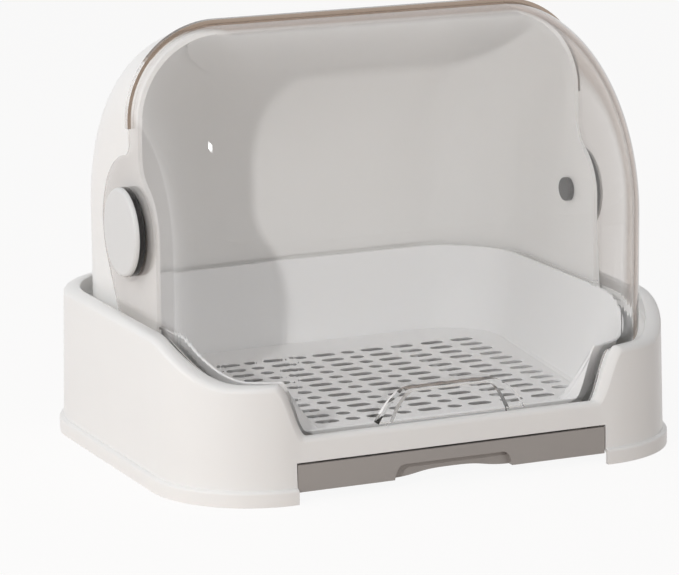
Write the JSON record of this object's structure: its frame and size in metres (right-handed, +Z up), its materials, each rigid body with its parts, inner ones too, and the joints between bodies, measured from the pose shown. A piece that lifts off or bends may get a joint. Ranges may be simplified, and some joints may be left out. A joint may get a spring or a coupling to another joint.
{
  "type": "baby bottle drying rack",
  "caption": "Countertop drying and storage box for baby bottles, with a drum-shaped flip-up clear lid, a slotted drain floor and a water drawer below.",
  "frame": {"origin": "middle of the bounding box, at the table surface", "axes": "+Z up, -Y towards the front with the drawer, +X to the right seen from the front"},
  "size_m": [0.315, 0.255, 0.25],
  "materials": {
    "white_abs": "satin gloss moulded",
    "white_pp": "fine matt moulded",
    "warm_grey_abs": "satin moulded",
    "tinted_clear": "polished tinted clear plastic",
    "nylon": "matt",
    "black_abs": "gloss moulded",
    "pale_grey_abs": "satin gloss",
    "steel": "zinc plated",
    "dark_steel": "dark coated",
    "pad_rubber": "matt"
  },
  "bodies": {
    "base": {"base_shell": "white_abs", "inner_tray": "white_pp", "rear_hood": "white_abs", "drawer_runner_left": "nylon", "friction_washer_left": "nylon", "pivot_ring_left": "black_abs", "pivot_cap_left": "pale_grey_abs", "pivot_screw_left": "dark_steel", "drawer_runner_right": "nylon", "friction_washer_right": "nylon", "pivot_ring_right": "black_abs", "pivot_cap_right": "pale_grey_abs", "pivot_screw_right": "dark_steel", "runner_screw_left_front": "steel", "foot_pad_left_front": "pad_rubber", "runner_screw_left_rear": "steel", "foot_pad_left_rear": "pad_rubber", "runner_screw_right_front": "steel", "foot_pad_right_front": "pad_rubber", "runner_screw_right_rear": "steel", "foot_pad_right_rear": "pad_rubber"},
    "lid": {"clear_lid": "tinted_clear"},
    "drawer": {"water_drawer": "warm_grey_abs"},
    "plate": {"drain_plate": "white_pp"}
  },
  "joints": [
    {"name": "lid_hinge", "type": "hinge", "parent": "base", "child": "lid", "pos_m": [0, -0.001, 0.133], "axis": [-1, 0, 0], "range_deg": [0, 95]},
    {"name": "drawer_slide", "type": "slide", "parent": "base", "child": "drawer", "axis": [0, -1, 0], "range_m": [0, 0.15]},
    {"name": "plate_lift", "type": "slide", "parent": "base", "child": "plate", "axis": [0, 0, 1], "range_m": [0, 0.04]}
  ]
}
